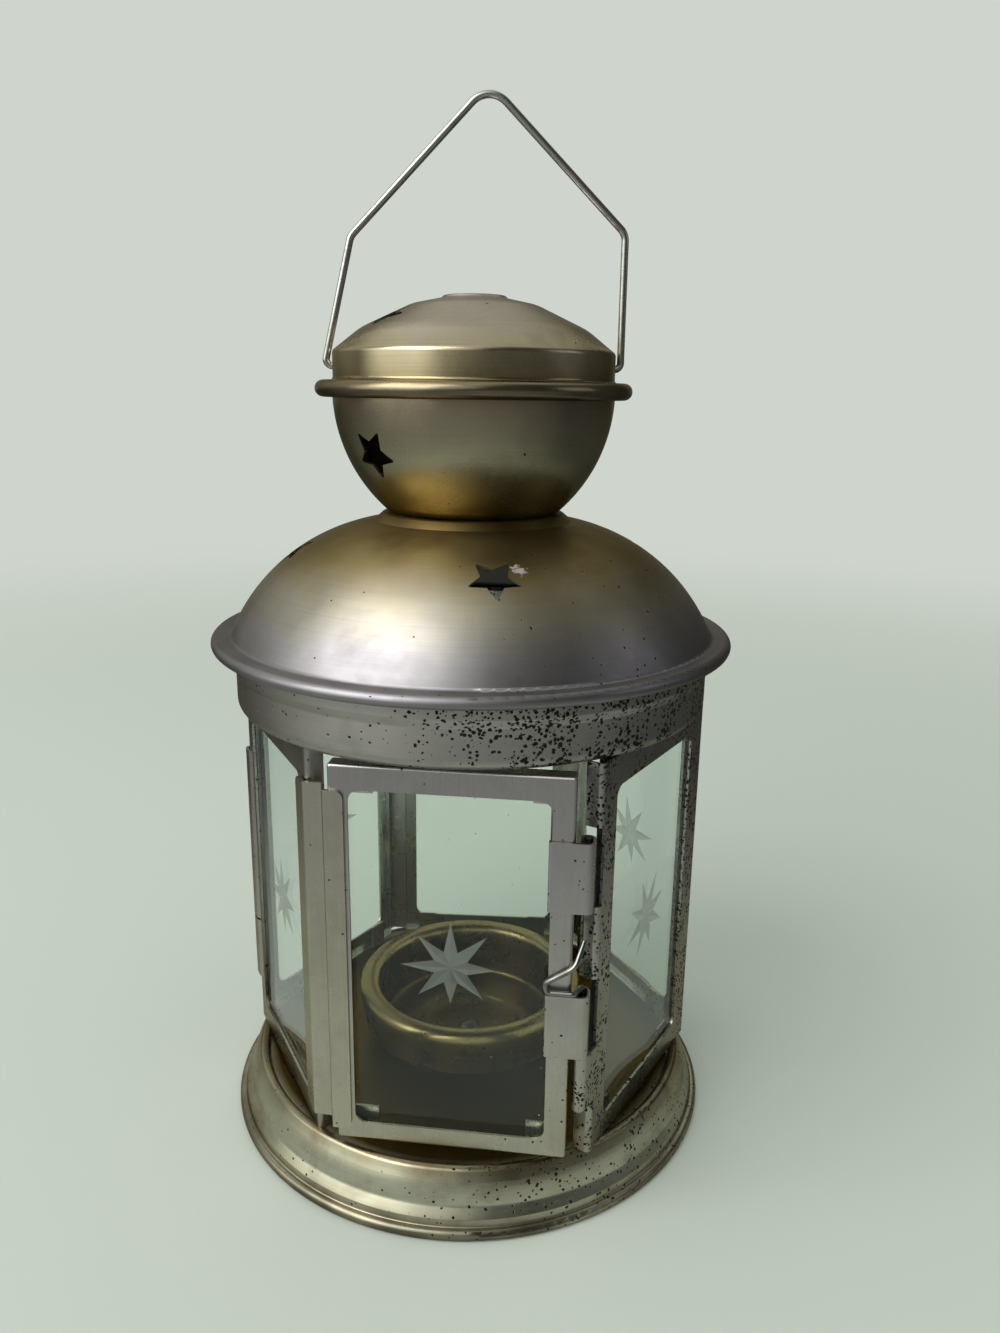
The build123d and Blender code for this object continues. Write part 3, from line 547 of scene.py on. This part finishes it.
def studio_floor():
    """Matt paper floor that turns into the surround's own colour away from the object.

    In the metal it darkens sooner, as the floor of a dim room with one window does.
    """
    material, tree, output = start_material("Matt paper floor")
    place = add(tree, "ShaderNodeTexCoord").outputs["Object"]
    away = add(tree, "ShaderNodeVectorMath", {0: place}, operation="LENGTH").outputs["Value"]
    seen_fade = smooth_share(tree, away, fade_start, fade_end)
    metal_fade = smooth_share(tree, away, 0.0, metal_fade_end)
    rays = add(tree, "ShaderNodeLightPath").outputs
    glossy = {0: rays["Is Glossy Ray"], 1: rays["Is Transmission Ray"]}
    glossy = add(tree, "ShaderNodeMath", glossy, operation="SUBTRACT", use_clamp=True).outputs[0]
    fade = add(tree, "ShaderNodeMix", {0: glossy, 2: seen_fade, 3: metal_fade}).outputs[0]
    outward = add(tree, "ShaderNodeVectorMath", {0: place}, operation="NORMALIZE").outputs[0]
    facing = add(tree, "ShaderNodeVectorMath", {0: outward, 1: window_way}, operation="DOT_PRODUCT")
    window_side = {0: facing.outputs["Value"], 1: far_side, 2: near_side, 3: far_glow, 4: near_glow}
    window_side = add(tree, "ShaderNodeMapRange", window_side).outputs[0]
    strength = add(tree, "ShaderNodeMix", {0: glossy, 2: 1.0, 3: window_side}).outputs[0]
    paper = add(tree, "ShaderNodeBsdfPrincipled", {"Base Color": linear(pale), "Roughness": 0.9})
    glow = add(tree, "ShaderNodeEmission", {0: linear(pale), 1: strength})
    mixed = add(tree, "ShaderNodeMixShader", {0: fade, 1: paper.outputs[0], 2: glow.outputs[0]})
    tree.links.new(mixed.outputs[0], output.inputs["Surface"])
    return material


mesh = bmesh.new()
bmesh.ops.create_circle(mesh, cap_ends=True, segments=floor_sides, radius=floor_reach)
floor_data = bpy.data.meshes.new("floor")
mesh.to_mesh(floor_data)
mesh.free()
floor = bpy.data.objects.new("floor", floor_data)
bpy.context.collection.objects.link(floor)
floor_data.materials.append(studio_floor())

# The surround is the floor's colour to the camera and through the glass. The metal sees a dim
# room in it, with a large window on the left, a pale reflector above the camera and to its left,
# and weaker ones overhead and behind.
world = bpy.data.worlds.new("Surround")
world.use_nodes = True
bpy.context.scene.world = world
tree = world.node_tree
tree.nodes.clear()
direction = add(tree, "ShaderNodeTexCoord").outputs["Generated"]
# Each panel's direction, how near to it a ray starts to see it and sees it fully, and its gain
panels = (
    ((-0.85, -0.45, 0.28), 0.76, 0.96, 2.7),
    ((-0.34, -0.8, 0.5), 0.87, 0.985, 1.5),
    ((-0.3, -0.35, 0.89), 0.8, 0.97, 1.15),
    ((-0.75, 0.35, 0.55), 0.75, 0.97, 0.7),
    ((0, 0.45, 0.89), 0.72, 0.97, 0.9),
    ((-0.3, 0.93, 0.1), 0.5, 0.97, 0.3),
)
room, daylight = 0.1, 0.9
for middle, rim, core, gain in panels:
    facing = add(tree, "ShaderNodeVectorMath", {0: direction, 1: middle}, operation="DOT_PRODUCT")
    panel = smooth_share(tree, facing.outputs["Value"], rim, core, gain)
    room = add(tree, "ShaderNodeMath", {0: panel, 1: room}).outputs[0]
rays = add(tree, "ShaderNodeLightPath").outputs
seen = {0: rays["Is Camera Ray"], 1: rays["Is Transmission Ray"]}
seen = add(tree, "ShaderNodeMath", seen, operation="MAXIMUM").outputs[0]
room = add(tree, "ShaderNodeMix", {0: rays["Is Glossy Ray"], 2: daylight, 3: room}).outputs[0]
strength = add(tree, "ShaderNodeMix", {0: seen, 2: room, 3: 1.0}).outputs[0]
glow = add(tree, "ShaderNodeBackground", {0: linear(pale), 1: strength})
sky = add(tree, "ShaderNodeOutputWorld")
tree.links.new(glow.outputs[0], sky.inputs["Surface"])


def softbox(name, place, aim, size, power, colour):
    """A square soft lamp at a place, aimed at a point, both in metres."""
    lamp = bpy.data.lights.new(name, "AREA")
    lamp.size = size
    lamp.energy = power
    lamp.color = linear(colour)[:3]
    holder = bpy.data.objects.new(name, lamp)
    holder.location = place
    holder.rotation_euler = (Vector(aim) - Vector(place)).to_track_quat("-Z", "Y").to_euler()
    bpy.context.collection.objects.link(holder)


lantern_middle = (0, 0, 0.1)
softbox("key_lamp", (-0.6, -0.42, 0.78), lantern_middle, size=0.8, power=6.0, colour="#ffffff")
softbox("fill_lamp", (0.75, -0.15, 0.45), lantern_middle, size=0.4, power=0.25, colour="#f4f7ff")

# The camera looks down by 15 degrees, as the photograph's does, from 21 cm in front of the
# lantern's axis
eye = Vector((0, -209.5, 154)) * mm
looking = Vector((0.02696, 0.96523, -0.26))
roll, focal_length, sensor_width, nearest = 0.8, 27.71, 36, 10
camera = bpy.data.objects.new("camera", bpy.data.cameras.new("camera"))
camera.data.sensor_width = sensor_width
camera.data.lens = focal_length
camera.data.clip_start = nearest * mm
camera.location = eye
camera.rotation_mode = "QUATERNION"
camera.rotation_quaternion = Quaternion(looking, radians(-roll)) @ looking.to_track_quat("-Z", "Y")
bpy.context.collection.objects.link(camera)
bpy.context.scene.camera = camera
bpy.context.scene.view_settings.view_transform = "Standard"
